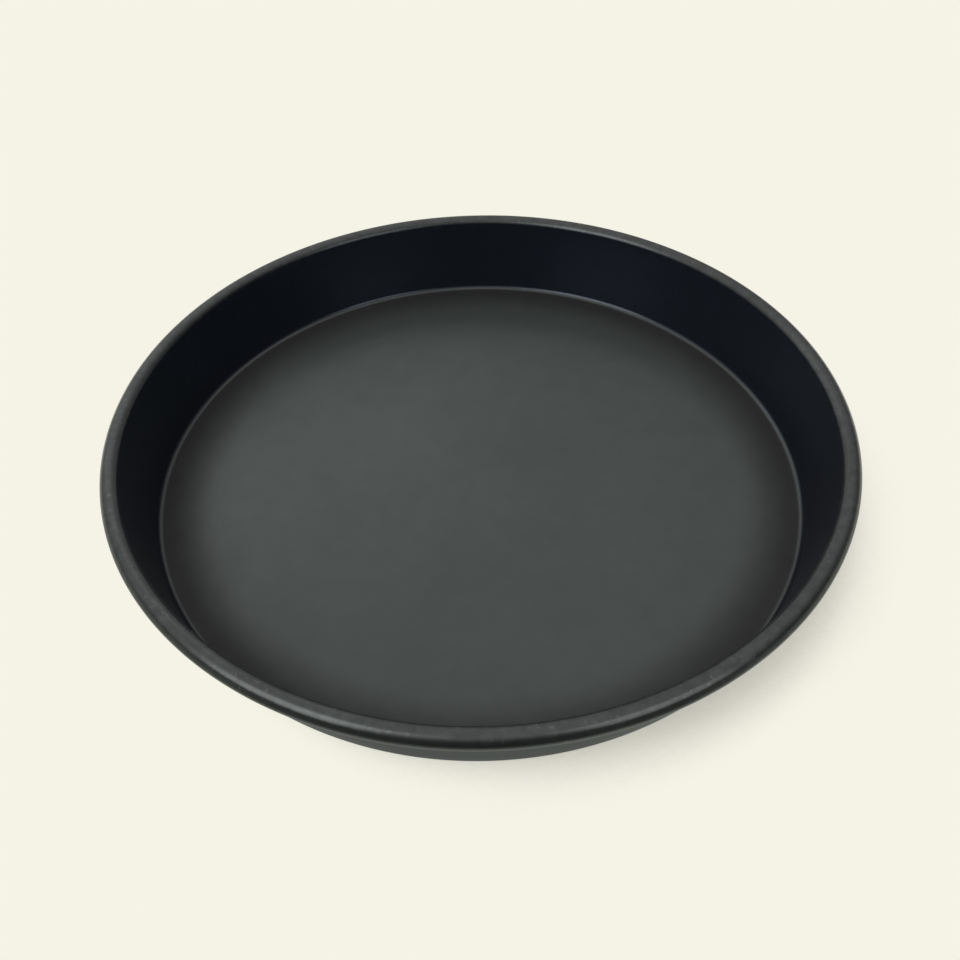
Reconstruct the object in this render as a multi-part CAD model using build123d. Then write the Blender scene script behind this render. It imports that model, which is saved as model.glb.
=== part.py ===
from build123d import *
import math
import os

# A round tapered pizza pan, pressed from one disc of sheet, with its edge rolled around a ring of stiffening wire.
# Millimetres, +Z up. The origin is the middle of the flat underside, and +Z is the pan's axis.

# Driving sizes of the pan
mouth_diameter = 305.0      # clear width inside the bead at its narrowest
inside_depth = 39.4         # from the floor up to the crest of the bead
wall_lean_degrees = 11.3    # how far the wall leans outwards from upright
sheet_thickness = 1.2
corner_bend_radius = 3.0    # on the inside of the sheet

# Driving sizes of the rolled bead
wire_diameter = 5.2
wire_clearance = 0.2        # all round, between the wire and the sheet that is rolled around it
curl_edge_gap = 0.3         # between the cut edge of the sheet and the outside of the wall
wire_end_gap = 0.8          # between the two butted ends of the wire

# The bead in section: a curl of sheet around the wire
wire_radius = wire_diameter / 2
curl_inside_radius = wire_radius + wire_clearance
bead_radius = curl_inside_radius + sheet_thickness
overall_height = sheet_thickness + inside_depth
bead_centre = Vector(mouth_diameter / 2 + bead_radius, overall_height - bead_radius)

# The inside face of the wall runs down from where it touches the bead, at the lean, to the corner with the floor.
wall_lean = math.radians(wall_lean_degrees)
wall_inwards = Vector(-math.cos(wall_lean), math.sin(wall_lean))
wall_top = bead_centre + wall_inwards * bead_radius
wall_height = wall_top.Y - sheet_thickness
floor_corner = Vector(wall_top.X - wall_height * math.tan(wall_lean), sheet_thickness)

# The corner bend joins the floor and the wall, with the same centre for both faces of the sheet.
half_corner_angle = (math.pi / 2 + wall_lean) / 2
bend_setback = corner_bend_radius / math.tan(half_corner_angle)
bend_centre = floor_corner + Vector(-bend_setback, corner_bend_radius)
bend_outside_radius = corner_bend_radius + sheet_thickness

# The curl stops where the outer corner of its cut edge still clears the outside of the wall by the named gap.
edge_to_bead_centre = curl_inside_radius - curl_edge_gap
curl_missing_angle = math.acos(edge_to_bead_centre / bead_radius)
wall_side_angle = math.pi - wall_lean
curl_end_angle = wall_side_angle + curl_missing_angle - 2 * math.pi


def on_circle(centre, radius, angle):
    """The point of a circle in the section plane at an angle from the outward direction."""
    return centre + Vector(math.cos(angle), math.sin(angle)) * radius


def arc_between(centre, radius, start_angle, end_angle):
    """A circular arc in the section plane, drawn through its middle point."""
    middle_angle = (start_angle + end_angle) / 2
    angles = (start_angle, middle_angle, end_angle)
    start, middle, end = [on_circle(centre, radius, angle) for angle in angles]
    return ThreePointArc(start, middle, end)


def sheet_section():
    """The cut through the sheet from the pan's axis out to the curl's edge, as one closed outline."""
    bend_start = -math.pi / 2
    bend_end = -wall_lean
    axis_under = Vector(0, 0)
    axis_over = Vector(0, sheet_thickness)

    with BuildSketch(Plane.XZ) as section:
        with BuildLine():
            under_bend = arc_between(bend_centre, bend_outside_radius, bend_start, bend_end)
            over_bend = arc_between(bend_centre, corner_bend_radius, bend_start, bend_end)
            outer_curl = arc_between(bead_centre, bead_radius, wall_side_angle, curl_end_angle)
            inner_curl = arc_between(bead_centre, curl_inside_radius, wall_side_angle, curl_end_angle)
            Line(axis_under, under_bend @ 0)
            Line(under_bend @ 1, inner_curl @ 0)
            Line(inner_curl @ 1, outer_curl @ 1)
            Line(outer_curl @ 0, over_bend @ 1)
            Line(over_bend @ 0, axis_over)
            Line(axis_over, axis_under)
        make_face()
    return section.sketch


def make_pan_body():
    """Floor, corner bend, leaning wall and rolled bead, all one sheet turned about the axis."""
    return revolve(sheet_section(), axis=Axis.Z)


def make_rim_wire():
    """A round wire bent into a ring inside the bead, open by the gap between its butted ends."""
    gap_angle = math.degrees(wire_end_gap / bead_centre.X)
    full_turn = 360
    with BuildSketch(Plane.XZ) as section:
        with Locations(bead_centre):
            Circle(wire_radius)
    ring = revolve(section.sketch, axis=Axis.Z, revolution_arc=full_turn - gap_angle)
    return ring.rotate(Axis.Z, gap_angle / 2)


def print_sizes(pan_body):
    """Print the sizes that follow from the driving ones, for comparing with the real pan."""
    box = pan_body.bounding_box()
    curl_turn = math.degrees(wall_side_angle - curl_end_angle)
    print(f"overall diameter {box.size.X:.2f}, overall height {box.size.Z:.2f}")
    print(f"bead diameter {2 * bead_radius:.2f}, flat floor corner diameter {2 * floor_corner.X:.2f}")
    print(f"curl turns {curl_turn:.1f} degrees")


parts = {
    "pan_body": make_pan_body(),
    "rim_wire": make_rim_wire(),
}
print_sizes(parts["pan_body"])
os.makedirs("parts", exist_ok=True)
for name, solid in parts.items():
    solid.label = name
    export_step(solid, os.path.join("parts", name + ".step"))
    print(f"{name}: volume {solid.volume:.1f}, valid {solid.is_valid}")
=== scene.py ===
import math

import bpy
import numpy as np
from bpy.props import FloatProperty, FloatVectorProperty, IntProperty, PointerProperty
from mathutils import Matrix, Vector


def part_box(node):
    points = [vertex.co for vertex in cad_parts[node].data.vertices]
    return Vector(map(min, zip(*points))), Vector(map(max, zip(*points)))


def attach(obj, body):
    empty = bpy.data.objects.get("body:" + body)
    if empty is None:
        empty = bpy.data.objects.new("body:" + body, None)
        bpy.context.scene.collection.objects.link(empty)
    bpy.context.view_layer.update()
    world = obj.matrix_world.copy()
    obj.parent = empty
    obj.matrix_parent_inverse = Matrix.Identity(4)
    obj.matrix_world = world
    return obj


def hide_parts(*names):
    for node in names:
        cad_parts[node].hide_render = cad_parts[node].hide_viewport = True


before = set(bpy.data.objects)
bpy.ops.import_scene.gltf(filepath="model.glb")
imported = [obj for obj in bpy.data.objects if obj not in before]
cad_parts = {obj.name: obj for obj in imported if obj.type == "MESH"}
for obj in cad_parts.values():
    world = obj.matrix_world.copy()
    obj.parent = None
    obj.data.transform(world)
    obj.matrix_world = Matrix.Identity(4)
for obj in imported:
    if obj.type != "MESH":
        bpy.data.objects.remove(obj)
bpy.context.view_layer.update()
body_low, body_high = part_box("pan_body")
wire_low, wire_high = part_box("rim_wire")

bl_info = {
    "name": "Pizza Pan",
    "version": (1, 0, 0),
    "blender": (4, 5, 0),
    "location": "3D View > Sidebar > Pizza Pan",
    "description": "Makes a round dark pizza pan with a wired bead, and a pale table to photograph it on",
    "category": "Add Mesh",
}

BODY = "root"
MILLIMETRE = 0.001

# Ranges of a share that rises or falls all the way
RISING = (0.0, 1.0)
FALLING = (1.0, 0.0)

# The pan's place and overall size come from the parts in model.glb, which hold them at their real size.
overall_radius = (body_high.x - body_low.x) / 2
wire_radius = (wire_high.z - wire_low.z) / 2
bead_centre_radius = (wire_high.x - wire_low.x) / 2 - wire_radius
bead_centre_height = (wire_high.z + wire_low.z) / 2
bead_radius = overall_radius - bead_centre_radius

# Straight steps on each stretch of the sheet's section, round the wire's section and along its ring
FLOOR_STEPS = 20
BEND_STEPS = 10
WALL_STEPS = 12
CURL_STEPS = 64
CUT_EDGE_STEPS = 2
INNER_CURL_STEPS = 32
OUTER_WALL_STEPS = 8
UNDER_BEND_STEPS = 12
BASE_STEPS = 12
WIRE_SECTION_STEPS = 24
WIRE_RING_STEPS = 360

# How far a second row of points lies from the corners of the curl's cut edge, as a share of the thickness
CORNER_INSET_SHARE = 0.05

# The bead's unevenness is a mean share and three sine waves: the share of each, how many of it go round the
# pan, and its phase. It moves the bead's outer surface, within about a share of the bead's radius, and it
# fades in from a share of that radius below the bead's middle to as far above it.
BEAD_MEAN_SHARE = 0.5
BEAD_WAVE_SHARES = ((0.2, 3, 0.4), (0.17, 7, 2.1), (0.13, 17, 0.0))
BEAD_SKIN_SHARE = 0.2
BEAD_FADE_SHARE = 0.5

# Where one coat gives way to the next: from a first share to a last share of a size of the pan
# The floor's rim and the inside of the wall are painted darker, as shade.
FLOOR_END_SHARES = (0.02, 0.12)     # of the bend's radius, as a height above the floor
RIM_SHADE_SHARES = (0.81, 0.97)     # of the floor's radius, out from the axis
WALL_SHADE_START_SHARES = (0.15, 0.5)     # of the bend's radius, as a height above the floor
WALL_SHADE_END_SHARES = (0.15, 0.4)       # of the bead's radius, as a height above the wall's top

# The studio's panels: place in degrees and metres from the middle of the pan, size in metres, and level of
# the face, where 1 is white
PANELS = {
    "key_panel": {"azimuth": -138.9, "elevation": 41, "distance": 0.833,
                  "width": 0.492, "height": 0.569, "glow": 2.97},
    "fill_panel": {"azimuth": -49.9, "elevation": 35.8, "distance": 0.526,
                   "width": 0.259, "height": 0.293, "glow": 2.06},
    "back_panel": {"azimuth": 116, "elevation": 44.2, "distance": 0.782,
                   "width": 0.547, "height": 0.192, "glow": 0.5},
    "left_card": {"azimuth": 135, "elevation": 27.2, "distance": 0.808,
                  "width": 0.4, "height": 0.26, "glow": 0.42},
}


class PanSizes(bpy.types.PropertyGroup):
    """Sizes of the pressed sheet, its bead and the wire inside it."""

    sheet_thickness: FloatProperty(
        name="Sheet thickness",
        description="Thickness of the metal that the pan is pressed from",
        default=1.2 * MILLIMETRE,
        unit="LENGTH",
        precision=5,
    )
    corner_bend_radius: FloatProperty(
        name="Corner bend radius",
        description="Inside radius of the bend between the floor and the wall",
        default=3.0 * MILLIMETRE,
        unit="LENGTH",
        precision=5,
    )
    wall_lean: FloatProperty(
        name="Wall lean",
        description="How far the wall leans outwards from upright",
        default=math.radians(11.3),
        subtype="ANGLE",
    )
    curl_edge_gap: FloatProperty(
        name="Curl edge gap",
        description="Gap between the cut edge of the curl and the outside of the wall",
        default=0.3 * MILLIMETRE,
        unit="LENGTH",
        precision=5,
    )
    bead_unevenness: FloatProperty(
        name="Bead unevenness",
        description="How far the rolled bead sinks below its true round at most",
        default=0.05 * MILLIMETRE,
        unit="LENGTH",
        precision=6,
    )
    wire_end_gap: FloatProperty(
        name="Wire end gap",
        description="Gap between the two butted ends of the wire",
        default=0.8 * MILLIMETRE,
        unit="LENGTH",
        precision=5,
    )
    steps_around: IntProperty(
        name="Steps around",
        description="Number of flat steps that the pan's round is made of",
        default=420,
        min=48,
    )


class PanFinish(bpy.types.PropertyGroup):
    """Colours and gloss of the hard coat and of the plain wire."""

    bead_coat: FloatVectorProperty(
        name="Coat on bead, bend and outside",
        description="Colour of the hard coat on the bead, the bend and the outside of the pan",
        default=(0.058, 0.0632, 0.061),
        subtype="COLOR",
        size=3,
    )
    bead_metal_share: FloatProperty(
        name="Metal share on bead, bend and outside",
        description="Share of the coat's colour that is mirrored and not scattered there",
        default=0.715,
        min=0,
        max=1,
    )
    bead_roughness: FloatProperty(
        name="Roughness on bead, bend and outside",
        description="Mean roughness of the hard coat there",
        default=0.285,
        min=0,
        max=1,
    )
    floor_coat: FloatVectorProperty(
        name="Coat on floor",
        description="Colour of the hard coat on the middle of the floor, where it is scuffed paler",
        default=(0.0483, 0.0568, 0.0525),
        subtype="COLOR",
        size=3,
    )
    floor_metal_share: FloatProperty(
        name="Metal share on floor",
        description="Share of the coat's colour that is mirrored and not scattered there",
        default=0.331,
        min=0,
        max=1,
    )
    floor_roughness: FloatProperty(
        name="Roughness on floor",
        description="Mean roughness of the hard coat there",
        default=0.31,
        min=0,
        max=1,
    )
    # Painted shade: the floor's rim next to the corner is coloured dark, rough and without metal, where the
    # wall shades it
    rim_painted_shade: FloatVectorProperty(
        name="Painted shade on rim of floor",
        description="Colour painted as shade on the rim of the floor, next to the corner",
        default=(0.0163, 0.0162, 0.0173),
        subtype="COLOR",
        size=3,
    )
    corner_metal_share: FloatProperty(
        name="Metal share on rim of floor",
        description="Share of the coat's colour that is mirrored and not scattered there",
        default=0.0,
        min=0,
        max=1,
    )
    corner_roughness: FloatProperty(
        name="Roughness on rim of floor",
        description="Mean roughness of the hard coat there",
        default=0.7,
        min=0,
        max=1,
    )
    # Painted shade: the inside of the wall is coloured darker and bluer than the same coat outside
    wall_painted_shade: FloatVectorProperty(
        name="Wall coat with painted shade",
        description="Colour of the hard coat on the inside of the wall, painted darker and bluer there as shade",
        default=(0.0245, 0.0305, 0.0435),
        subtype="COLOR",
        size=3,
    )
    wall_metal_share: FloatProperty(
        name="Metal share on wall",
        description="Share of the coat's colour that is mirrored and not scattered there",
        default=0.69,
        min=0,
        max=1,
    )
    wall_roughness: FloatProperty(
        name="Roughness on wall",
        description="Mean roughness of the hard coat there",
        default=0.24,
        min=0,
        max=1,
    )
    coat_edge_share: FloatProperty(
        name="Coat edge share",
        description="Share of a clear coat's mirror at a flat angle that this fine rough coat keeps",
        default=0.7,
        min=0,
        max=1,
    )
    wear_gain: FloatProperty(
        name="Wear gain",
        description="How many times lighter the coat is in the small worn specks on the bead",
        default=1.9,
        min=1,
    )
    wire_colour: FloatVectorProperty(
        name="Wire colour",
        description="Colour of the plain stiffening wire",
        default=(0.42, 0.43, 0.44),
        subtype="COLOR",
        size=3,
    )


class StageSettings(bpy.types.PropertyGroup):
    """The table's colours and the place of the camera."""

    table_colour: FloatVectorProperty(
        name="Table colour",
        description="Pale colour of the table that the pan stands on",
        default=(0.913, 0.896, 0.791),
        subtype="COLOR",
        size=3,
    )
    shaded_colour: FloatVectorProperty(
        name="Shaded table colour",
        description="Cooler colour that the pan mirrors of the table in the shade round its base",
        default=(0.842, 0.896, 0.812),
        subtype="COLOR",
        size=3,
    )
    camera_elevation: FloatProperty(
        name="Camera elevation",
        description="Height angle of the camera above the table, seen from the pan's underside",
        default=math.radians(45.56),
        subtype="ANGLE",
    )
    camera_distance: FloatProperty(
        name="Camera distance",
        description="Distance of the camera from the middle of the pan's underside",
        default=0.4371,
        unit="LENGTH",
    )
    camera_yaw: FloatProperty(
        name="Camera yaw",
        description="How far the camera is turned to the left from the middle of the pan",
        default=math.radians(1.417),
        subtype="ANGLE",
    )
    camera_pitch: FloatProperty(
        name="Camera pitch",
        description="How far the camera is turned up from the middle of the pan",
        default=math.radians(-0.509),
        subtype="ANGLE",
    )
    camera_roll: FloatProperty(
        name="Camera roll",
        description="How far the camera is rolled about its own line of sight",
        default=math.radians(1.413),
        subtype="ANGLE",
    )
    camera_lens: FloatProperty(
        name="Camera lens",
        description="Focal length in millimetres on a sensor 36 mm wide",
        default=35.19,
    )
    camera_shift: FloatProperty(
        name="Camera shift",
        description="Sideways lens shift as a share of the picture's width",
        default=0.0273,
    )


def arc(centre, radius, start, end, steps):
    """Points of a circular arc in the section plane: the centre plus the radius times the cosine and the
    sine of an angle that runs evenly from start to end."""
    angle = np.linspace(start, end, steps + 1)
    return np.stack([centre[0] + radius * np.cos(angle), centre[1] + radius * np.sin(angle)], axis=1)


def run(start, end, steps):
    """Points of a straight run: start plus an even share of the way to end."""
    share = np.linspace(0, 1, steps + 1)[:, None]
    return np.asarray(start) * (1 - share) + np.asarray(end) * share


def step_in(corner, neighbour, inset):
    """The point at inset from a corner, straight towards its neighbour."""
    way = neighbour - corner
    return corner + way / np.linalg.norm(way) * inset


def crisp(points, inset):
    """The same run of points with one more just inside each end, at inset, so that smooth shading keeps the
    corner there sharp."""
    head = step_in(points[0], points[1], inset)
    tail = step_in(points[-1], points[-2], inset)
    return np.concatenate([points[:1], head[None], points[1:-1], tail[None], points[-1:]])


def turn_outline(outline, steps, closed_turn=True, turn=2 * math.pi, start=0.0):
    """A surface of revolution: every outline point (radius, height) is carried around the upright axis, so
    that x is radius times the cosine of the turn, y is radius times its sine, and z is the height. Gives the
    grid of points, and the turn of each of its columns."""
    count = steps if closed_turn else steps + 1
    angle = start + np.arange(count) * turn / steps
    radius, height = outline[:, 0], outline[:, 1]
    x = radius[:, None] * np.cos(angle)
    y = radius[:, None] * np.sin(angle)
    z = np.repeat(height[:, None], count, axis=1)
    return np.stack([x, y, z], axis=-1), angle


def grid_faces(rows, columns, wrap_rows, wrap_columns):
    """Four-sided faces of a grid of rows times columns points, joined across an edge where it wraps."""
    row = np.arange(rows if wrap_rows else rows - 1)
    column = np.arange(columns if wrap_columns else columns - 1)
    row, column = np.meshgrid(row, column, indexing="ij")
    next_row, next_column = (row + 1) % rows, (column + 1) % columns
    corners = [row * columns + column, next_row * columns + column,
               next_row * columns + next_column, row * columns + next_column]
    return np.stack(corners, axis=-1).reshape(-1, 4)


def new_piece(name, points, faces, material):
    """A smooth mesh object from arrays of points and faces, with its object at the origin."""
    mesh = bpy.data.meshes.new(name)
    mesh.from_pydata(points.tolist(), [], faces)
    mesh.polygons.foreach_set("use_smooth", np.ones(len(mesh.polygons), dtype=bool))
    mesh.materials.append(material)
    mesh.validate()
    mesh.update()
    piece = bpy.data.objects.new(name, mesh)
    bpy.context.scene.collection.objects.link(piece)
    return piece


def bead_tangent(sizes):
    """Where the wall's inner face touches the bead: the bead's centre plus its radius, square to the wall."""
    wall_side = math.pi - sizes.wall_lean
    return (bead_centre_radius + bead_radius * math.cos(wall_side),
            bead_centre_height + bead_radius * math.sin(wall_side))


def inner_corner_radius(sizes):
    """Radius at which the wall's inner face, carried on down in its own line, would meet the floor."""
    top_radius, top_height = bead_tangent(sizes)
    return top_radius - (top_height - sizes.sheet_thickness) * math.tan(sizes.wall_lean)


def sheet_outline(sizes):
    """The sheet's section as one loop of (radius, height) points from the axis, over the floor, up the wall,
    round the curl to its cut edge, back inside the curl, down the outside and under the base to the axis. The
    curl ends where the outer corner of its cut edge is the edge gap away from the outside of the wall. The
    bend touches the floor and the wall, so its centre is set back from their corner by its radius over the
    tangent of half the angle between them."""
    thickness = sizes.sheet_thickness
    lean = sizes.wall_lean
    bead = np.array([bead_centre_radius, bead_centre_height])
    curl_inside = bead_radius - thickness
    wall_side = math.pi - lean
    curl_end = wall_side + math.acos((curl_inside - sizes.curl_edge_gap) / bead_radius) - 2 * math.pi

    down = -math.pi / 2
    bend_inside = sizes.corner_bend_radius
    bend_outside = bend_inside + thickness
    setback = bend_inside / math.tan((math.pi / 2 + lean) / 2)
    bend = np.array([inner_corner_radius(sizes) - setback, thickness + bend_inside])
    inset = CORNER_INSET_SHARE * thickness

    over_bend = arc(bend, bend_inside, down, -lean, BEND_STEPS)
    under_bend = arc(bend, bend_outside, -lean, down, UNDER_BEND_STEPS)
    outer_curl = arc(bead, bead_radius, wall_side, curl_end, CURL_STEPS)
    inner_curl = arc(bead, curl_inside, curl_end, wall_side, INNER_CURL_STEPS)
    floor_over = run((0, thickness), over_bend[0], FLOOR_STEPS)
    wall_inside = run(over_bend[-1], outer_curl[0], WALL_STEPS)
    cut_edge = run(outer_curl[-1], inner_curl[0], CUT_EDGE_STEPS)
    wall_outside = run(inner_curl[-1], under_bend[0], OUTER_WALL_STEPS)
    base_under = run(under_bend[-1], (0, 0), BASE_STEPS)
    following = [over_bend, wall_inside, crisp(outer_curl, inset), crisp(cut_edge, inset), inner_curl,
                 wall_outside, under_bend, base_under]
    stretches = [floor_over] + [stretch[1:] for stretch in following]
    return np.concatenate(stretches)


def sink_bead(grid, angle, outline, depth):
    """Sinks the bead's surface a little towards its own centre line: the depth times a share between 0 and 1
    that is a sum of slow waves round the pan, and fades out round the height of the bead's middle."""
    waves = np.full_like(angle, BEAD_MEAN_SHARE)
    for share, count, phase in BEAD_WAVE_SHARES:
        waves += share * np.sin(count * angle + phase)
    offset = outline - np.array([bead_centre_radius, bead_centre_height])
    reach = np.hypot(offset[:, 0], offset[:, 1])
    near_outside = np.exp(-((reach - bead_radius) / (BEAD_SKIN_SHARE * bead_radius)) ** 2)
    above = np.interp(offset[:, 1] / bead_radius, (-BEAD_FADE_SHARE, BEAD_FADE_SHARE), RISING)
    weight = near_outside * above
    direction = offset / np.maximum(reach, MILLIMETRE)[:, None]
    shift = -depth * weight[:, None] * waves[None, :]
    grid[..., 0] += shift * direction[:, :1] * np.cos(angle)
    grid[..., 1] += shift * direction[:, :1] * np.sin(angle)
    grid[..., 2] += shift * direction[:, 1:]
    return grid


def closed_turning(grid):
    """Points and faces of a turned loop whose first and last rows lie on the axis: each of those rows becomes
    one point, with a fan of three-sided faces, and all the rows between are joined by four-sided faces."""
    rows, columns = grid.shape[:2]
    inner = grid[1:-1].reshape(-1, 3)
    first, last = grid[0, :1], grid[-1, :1]
    points = np.concatenate([inner, first, last])
    inner_rows = rows - 2
    faces = grid_faces(inner_rows, columns, wrap_rows=False, wrap_columns=True).tolist()
    this = np.arange(columns)
    following = (this + 1) % columns
    last_row = (inner_rows - 1) * columns
    first_point = np.full(columns, len(inner))
    last_point = first_point + 1
    faces += np.stack([first_point, this, following], axis=-1).tolist()
    faces += np.stack([last_point, last_row + following, last_row + this], axis=-1).tolist()
    return points, faces


class Bench:
    """A material's or world's node tree, with short calls to add nodes and to join them."""

    def __init__(self, tree):
        self.tree = tree
        tree.nodes.clear()

    def add(self, kind, values=None, **settings):
        """Adds a node, sets its settings, and sets or links its sockets by name or number."""
        node = self.tree.nodes.new(kind)
        for name, value in settings.items():
            setattr(node, name, value)
        for key, value in (values or {}).items():
            if isinstance(value, bpy.types.NodeSocket):
                self.tree.links.new(value, node.inputs[key])
            else:
                node.inputs[key].default_value = value
        return node


def rgba(colour):
    """A colour with full opacity added."""
    return (*colour, 1.0)


def noise(bench, place, feature, detail, roughness=0.5):
    """Noise whose patches are about feature metres across."""
    node = bench.add("ShaderNodeTexNoise", {
        "Vector": place,
        "Scale": 1 / feature,
        "Detail": detail,
        "Roughness": roughness,
    })
    return node.outputs["Fac"]


def spread(bench, value, given, wanted, kind="LINEAR"):
    """Maps a value from a given range to a wanted one, held at the ends."""
    node = bench.add("ShaderNodeMapRange", {
        "Value": value,
        "From Min": given[0],
        "From Max": given[1],
        "To Min": wanted[0],
        "To Max": wanted[1],
    }, interpolation_type=kind)
    return node.outputs["Result"]


def times(bench, *factors):
    """The product of several values."""
    product = factors[0]
    for factor in factors[1:]:
        product = bench.add("ShaderNodeMath", {0: product, 1: factor}, operation="MULTIPLY").outputs[0]
    return product


def layered(bench, kind, first, shares, values):
    """The first value with the others laid over it in turn, each by its own share."""
    value = first
    for share, over in zip(shares, values):
        mix = bench.add("ShaderNodeMix", {"Factor": share, "A": value, "B": over}, data_type=kind)
        value = mix.outputs["Result"]
    return value


def from_to(start, size, shares):
    """The range from the first to the last share of a size, counted from start."""
    return [start + share * size for share in shares]


def coat_zones(bench, place, sizes):
    """Shares of the bead, the floor, the floor's rim and the inside of the wall, 0 elsewhere. The floor's rim
    and the inside of the wall carry painted shade. A point is inside where its distance from the axis, less
    its height times the slope of the wall, is no more than on the wall's inner face. The floor ends where the
    bend begins to rise, and the wall runs from the bend to the bead."""
    floor_top = sizes.sheet_thickness
    wall_top = bead_tangent(sizes)[1]
    bend = sizes.corner_bend_radius
    corner = inner_corner_radius(sizes)
    slope = math.tan(sizes.wall_lean)
    inner_face = corner - floor_top * slope
    outer_face = inner_face + sizes.sheet_thickness

    height = bench.add("ShaderNodeSeparateXYZ", {"Vector": place}).outputs["Z"]
    flat = bench.add("ShaderNodeVectorMath", {0: place, 1: (1, 1, 0)}, operation="MULTIPLY").outputs["Vector"]
    from_axis = bench.add("ShaderNodeVectorMath", {0: flat}, operation="LENGTH").outputs["Value"]
    leaned = bench.add("ShaderNodeMath", {0: height, 1: -slope, 2: from_axis}, operation="MULTIPLY_ADD")

    inside = spread(bench, leaned.outputs["Value"], (inner_face, outer_face), FALLING)
    level = spread(bench, height, from_to(floor_top, bend, FLOOR_END_SHARES), FALLING)
    outwards = spread(bench, from_axis, from_to(0, corner, RIM_SHADE_SHARES), RISING, "SMOOTHSTEP")
    above_bend = spread(bench, height, from_to(floor_top, bend, WALL_SHADE_START_SHARES), RISING)
    below_bead = spread(bench, height, from_to(wall_top, bead_radius, WALL_SHADE_END_SHARES), FALLING)

    bead_share = spread(bench, height, (wall_top - bead_radius, wall_top), RISING)
    floor_share = times(bench, inside, level)
    # Painted shade on the floor's rim next to the corner
    rim_shade_share = times(bench, floor_share, outwards)
    # Painted shade on the inside of the wall
    wall_shade_share = times(bench, inside, above_bend, below_bead)
    return bead_share, floor_share, rim_shade_share, wall_shade_share


def hard_coat_material(finish, sizes):
    """Dark satin hard coat with a fine grain, mottled in colour and gloss. It is scuffed paler in the middle
    of the floor and worn in specks and patches on the bead. Shade is painted into it: rough and dark on the
    floor's rim, and darker and bluish on the inside of the wall."""
    material = bpy.data.materials.new("dark_hard_coat")
    material.use_nodes = True
    bench = Bench(material.node_tree)
    place = bench.add("ShaderNodeTexCoord").outputs["Object"]
    bead_share, *shares = coat_zones(bench, place, sizes)
    coats = [rgba(colour) for colour in (finish.floor_coat, finish.rim_painted_shade, finish.wall_painted_shade)]
    colour = layered(bench, "RGBA", rgba(finish.bead_coat), shares, coats)
    metal_shares = (finish.floor_metal_share, finish.corner_metal_share, finish.wall_metal_share)
    metal_share = layered(bench, "FLOAT", finish.bead_metal_share, shares, metal_shares)
    roughnesses = (finish.floor_roughness, finish.corner_roughness, finish.wall_roughness)
    mean_roughness = layered(bench, "FLOAT", finish.bead_roughness, shares, roughnesses)

    broad = noise(bench, place, feature=45 * MILLIMETRE, detail=3)
    fine = noise(bench, place, feature=9 * MILLIMETRE, detail=4, roughness=0.6)
    mottle = bench.add("ShaderNodeMath", {0: broad, 1: fine}, operation="ADD").outputs["Value"]
    mottle_range = (0.7, 1.3)
    depth = spread(bench, mottle, mottle_range, wanted=(0.92, 1.08))
    gloss = spread(bench, mottle, mottle_range, wanted=(1.06, 0.94))
    roughness = times(bench, mean_roughness, gloss)

    specks = noise(bench, place, feature=1.8 * MILLIMETRE, detail=3)
    patches = noise(bench, place, feature=4 * MILLIMETRE, detail=2)
    speck_gain = spread(bench, specks, given=(0.62, 0.8), wanted=(1.0, finish.wear_gain))
    patch_gain = spread(bench, patches, given=(0.3, 0.7), wanted=(0.87, 1.13))
    wear = layered(bench, "FLOAT", 1.0, [bead_share], [times(bench, speck_gain, patch_gain)])
    tone = times(bench, depth, wear)
    mottled = bench.add("ShaderNodeVectorMath", {0: colour, "Scale": tone}, operation="SCALE")

    grain = noise(bench, place, feature=0.7 * MILLIMETRE, detail=2, roughness=0.7)
    grain_height = 0.006 * MILLIMETRE
    bump = bench.add("ShaderNodeBump", {"Height": grain, "Distance": grain_height, "Strength": 1.0})

    edge = finish.coat_edge_share
    shader = bench.add("ShaderNodeBsdfPrincipled", {
        "Base Color": mottled.outputs["Vector"],
        "Metallic": metal_share,
        "Roughness": roughness,
        "Specular Tint": (edge, edge, edge, 1.0),
        "Normal": bump.outputs["Normal"],
    })
    bench.add("ShaderNodeOutputMaterial", {"Surface": shader.outputs["BSDF"]})
    return material


def wire_material(finish):
    """Plain drawn wire: dull plated metal whose gloss differs in small spots."""
    material = bpy.data.materials.new("plain_wire")
    material.use_nodes = True
    bench = Bench(material.node_tree)
    place = bench.add("ShaderNodeTexCoord").outputs["Object"]
    spots = noise(bench, place, feature=2 * MILLIMETRE, detail=4, roughness=0.6)
    shader = bench.add("ShaderNodeBsdfPrincipled", {
        "Base Color": rgba(finish.wire_colour),
        "Metallic": 1.0,
        "Roughness": spread(bench, spots, given=(0.3, 0.7), wanted=(0.32, 0.5)),
    })
    bench.add("ShaderNodeOutputMaterial", {"Surface": shader.outputs["BSDF"]})
    return material


class PAN_OT_sheet(bpy.types.Operator):
    """Make the pressed sheet: floor, corner bend, leaning wall and rolled bead"""

    bl_idname = "pizza_pan.sheet"
    bl_label = "Pressed Sheet"

    def execute(self, context):
        sizes = context.scene.pan_sizes
        outline = sheet_outline(sizes)
        grid, angle = turn_outline(outline, sizes.steps_around)
        grid = sink_bead(grid, angle, outline, sizes.bead_unevenness)
        points, faces = closed_turning(grid)
        piece = new_piece("pan_sheet", points, faces, hard_coat_material(context.scene.pan_finish, sizes))
        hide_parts("pan_body")
        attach(piece, BODY)
        return {"FINISHED"}


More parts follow.
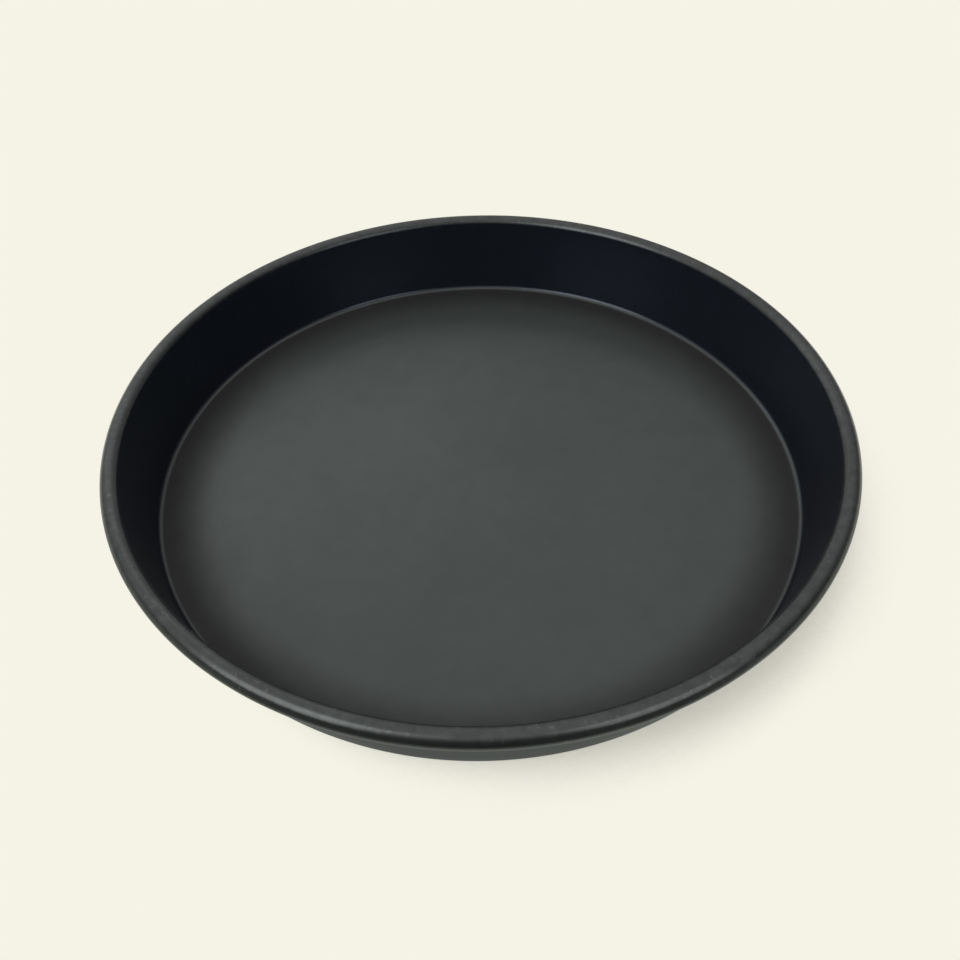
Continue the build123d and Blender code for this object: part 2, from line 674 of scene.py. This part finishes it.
class PAN_OT_wire(bpy.types.Operator):
    """Make the stiffening wire inside the bead, a ring with two butted ends"""

    bl_idname = "pizza_pan.wire"
    bl_label = "Rim Wire"

    def execute(self, context):
        sizes = context.scene.pan_sizes
        gap_angle = sizes.wire_end_gap / bead_centre_radius
        centre = (bead_centre_radius, bead_centre_height)
        full_turn = 2 * math.pi
        outline = arc(centre, wire_radius, 0, -full_turn, WIRE_SECTION_STEPS)[:-1]
        grid, _ = turn_outline(outline, WIRE_RING_STEPS, closed_turn=False,
                               turn=full_turn - gap_angle, start=gap_angle / 2)
        rows, columns = grid.shape[:2]
        faces = grid_faces(rows, columns, wrap_rows=True, wrap_columns=False).tolist()
        first_end = (np.arange(rows) * columns).tolist()
        second_end = (np.arange(rows) * columns + columns - 1).tolist()
        faces += [first_end[::-1], second_end]
        piece = new_piece("wire_ring", grid.reshape(-1, 3), faces, wire_material(context.scene.pan_finish))
        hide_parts("rim_wire")
        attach(piece, BODY)
        return {"FINISHED"}


def look_from(stage):
    """The camera's matrix: it stands at the distance and elevation on the -Y side, looks at the middle of the
    pan's underside, and is then turned by the yaw, the pitch and the roll about its own axes."""
    tilt = stage.camera_elevation
    place = Vector((0, -math.cos(tilt), math.sin(tilt))) * stage.camera_distance
    forward = -place.normalized()
    right = Vector((1, 0, 0))
    axes = {"right": right, "up": right.cross(forward), "forward": forward}
    turns = {"up": stage.camera_yaw, "right": stage.camera_pitch, "forward": stage.camera_roll}
    for name, angle in turns.items():
        turning = Matrix.Rotation(angle, 3, axes[name])
        axes = {each: turning @ axis for each, axis in axes.items()}
    rotation = Matrix((axes["right"], axes["up"], -axes["forward"])).transposed()
    return Matrix.Translation(place) @ rotation.to_4x4()


def add_camera(stage):
    """The camera, at the photograph's place and angle."""
    data = bpy.data.cameras.new("camera")
    data.lens = stage.camera_lens
    data.shift_x = stage.camera_shift
    data.clip_start = 10 * MILLIMETRE
    camera = bpy.data.objects.new("camera", data)
    camera.matrix_world = look_from(stage)
    bpy.context.scene.collection.objects.link(camera)
    bpy.context.scene.camera = camera


def towards(azimuth, elevation):
    """The direction at an azimuth, counted in degrees from +X towards +Y, and at an elevation in degrees."""
    turn, tilt = math.radians(azimuth), math.radians(elevation)
    return Vector((math.cos(turn) * math.cos(tilt), math.sin(turn) * math.cos(tilt), math.sin(tilt)))


def add_panel(name, azimuth, elevation, distance, width, height, glow):
    """A studio panel that faces the middle of the pan. Its face glows at a level where 1 is white, so its
    strength is the glow times pi times the panel's area."""
    data = bpy.data.lights.new(name, "AREA")
    data.shape = "RECTANGLE"
    data.size = width
    data.size_y = height
    data.energy = glow * math.pi * width * height
    panel = bpy.data.objects.new(name, data)
    side = towards(azimuth, elevation)
    panel.location = side * distance
    panel.rotation_mode = "QUATERNION"
    panel.rotation_quaternion = side.to_track_quat("Z", "Y")
    panel.visible_camera = False
    bpy.context.scene.collection.objects.link(panel)


def table_material(stage):
    """Pale table. To the camera it has its own colour, shaded where the pan closes off the side that most
    light comes from. The pan mirrors it at other levels, where 1 is that colour: cooler and about a half next
    to the base, about 1 just outside the bead, and further out, in its own colour again, as if it were lit
    from behind, from 0 in front to two and a half at the back."""
    material = bpy.data.materials.new("pale_table")
    material.use_nodes = True
    bench = Bench(material.node_tree)
    place = bench.add("ShaderNodeTexCoord").outputs["Object"]

    light_side = towards(azimuth=-172, elevation=57)
    light_normal = bench.add("ShaderNodeCombineXYZ", dict(zip("XYZ", light_side)))
    openness = bench.add("ShaderNodeAmbientOcclusion", {
        "Normal": light_normal.outputs["Vector"],
        "Distance": 1.0,
    }, samples=12).outputs["AO"]
    shade = spread(bench, openness, given=(0.39, 0.52), wanted=(0.53, 1.0))
    seen = bench.add("ShaderNodeEmission", {"Color": rgba(stage.table_colour), "Strength": shade})

    distance = bench.add("ShaderNodeVectorMath", {0: place}, operation="LENGTH").outputs["Value"]
    outwards = bench.add("ShaderNodeVectorMath", {0: place}, operation="NORMALIZE").outputs["Vector"]
    backwards = bench.add("ShaderNodeSeparateXYZ", {"Vector": outwards}).outputs["Y"]
    beyond = spread(bench, backwards, given=(-1, 1), wanted=(0.0, 2.53))
    near = spread(bench, distance, given=(0.152, 0.174), wanted=(0.55, 1.1))
    away = spread(bench, distance, given=(0.172, 0.228), wanted=RISING, kind="SMOOTHSTEP")
    level = layered(bench, "FLOAT", near, [away], [beyond])
    tint = layered(bench, "RGBA", rgba(stage.shaded_colour), [away], [rgba(stage.table_colour)])
    mirrored = bench.add("ShaderNodeEmission", {"Color": tint, "Strength": level})

    path = bench.add("ShaderNodeLightPath")
    both = bench.add("ShaderNodeMixShader", {
        0: path.outputs["Is Camera Ray"],
        1: mirrored.outputs["Emission"],
        2: seen.outputs["Emission"],
    })
    bench.add("ShaderNodeOutputMaterial", {"Surface": both.outputs["Shader"]})
    return material


def add_table(stage):
    """A round flat table top just under the pan's base."""
    radius = 4.0
    steps = 96
    drop = 0.1 * MILLIMETRE
    angle = np.arange(steps) * 2 * math.pi / steps
    points = np.stack([radius * np.cos(angle), radius * np.sin(angle), np.full(steps, -drop)], axis=1)
    table = new_piece("table", points, [list(range(steps))], table_material(stage))


def add_sky(stage):
    """A pale studio round the pan, and the table's colour to the camera. It is brightest overhead, leaning to
    the back and the left, and has a weaker glow near the horizon that grows from the sides to the back."""
    world = bpy.data.worlds.new("studio")
    world.use_nodes = True
    bench = Bench(world.node_tree)
    direction = bench.add("ShaderNodeTexCoord").outputs["Generated"]
    axes = bench.add("ShaderNodeSeparateXYZ", {"Vector": direction}).outputs

    brightest = (-0.19, 0.21, 1.0)
    leaning = bench.add("ShaderNodeVectorMath", {0: direction, 1: brightest}, operation="DOT_PRODUCT")
    overhead = spread(bench, leaning.outputs["Value"], (0.133, 1.0), wanted=(0.0, 0.985), kind="SMOOTHSTEP")
    around = spread(bench, axes["Y"], given=(-0.14, 1), wanted=(0.0, 0.56))
    low = spread(bench, axes["Z"], given=(0.1, 0.6), wanted=FALLING, kind="SMOOTHSTEP")
    glow = bench.add("ShaderNodeMath", {0: around, 1: low, 2: overhead}, operation="MULTIPLY_ADD")
    light = bench.add("ShaderNodeBackground", {"Color": (1, 1, 1, 1), "Strength": glow.outputs["Value"]})
    seen = bench.add("ShaderNodeBackground", {"Color": rgba(stage.table_colour), "Strength": 1.0})

    path = bench.add("ShaderNodeLightPath")
    both = bench.add("ShaderNodeMixShader", {
        0: path.outputs["Is Camera Ray"],
        1: light.outputs["Background"],
        2: seen.outputs["Background"],
    })
    bench.add("ShaderNodeOutputWorld", {"Surface": both.outputs["Shader"]})
    bpy.context.scene.world = world


class PAN_OT_stage(bpy.types.Operator):
    """Make the pale table, the studio light and the camera"""

    bl_idname = "pizza_pan.stage"
    bl_label = "Stage"

    def execute(self, context):
        stage = context.scene.pan_stage
        context.scene.view_settings.view_transform = "Standard"
        add_camera(stage)
        add_table(stage)
        add_sky(stage)
        for name, values in PANELS.items():
            add_panel(name, **values)
        return {"FINISHED"}


class PAN_PT_panel(bpy.types.Panel):
    """Lists the pan's pieces, sizes and colours in the sidebar"""

    bl_idname = "PAN_PT_panel"
    bl_label = "Pizza Pan"
    bl_space_type = "VIEW_3D"
    bl_region_type = "UI"
    bl_category = "Pizza Pan"

    def draw(self, context):
        for maker in makers:
            self.layout.operator(maker.bl_idname)
        for group_name in settings_groups:
            box = self.layout.box()
            group = getattr(context.scene, group_name)
            for name in group.__annotations__:
                box.prop(group, name)


settings_groups = {"pan_sizes": PanSizes, "pan_finish": PanFinish, "pan_stage": StageSettings}
makers = (PAN_OT_stage, PAN_OT_sheet, PAN_OT_wire)
classes = (*settings_groups.values(), *makers, PAN_PT_panel)


def register():
    for each in classes:
        bpy.utils.register_class(each)
    for name, group in settings_groups.items():
        setattr(bpy.types.Scene, name, PointerProperty(type=group))


def unregister():
    for name in settings_groups:
        delattr(bpy.types.Scene, name)
    for each in reversed(classes):
        bpy.utils.unregister_class(each)


def main():
    register()
    bpy.ops.pizza_pan.stage()
    bpy.ops.pizza_pan.sheet()
    bpy.ops.pizza_pan.wire()


if __name__ == "__main__":
    main()
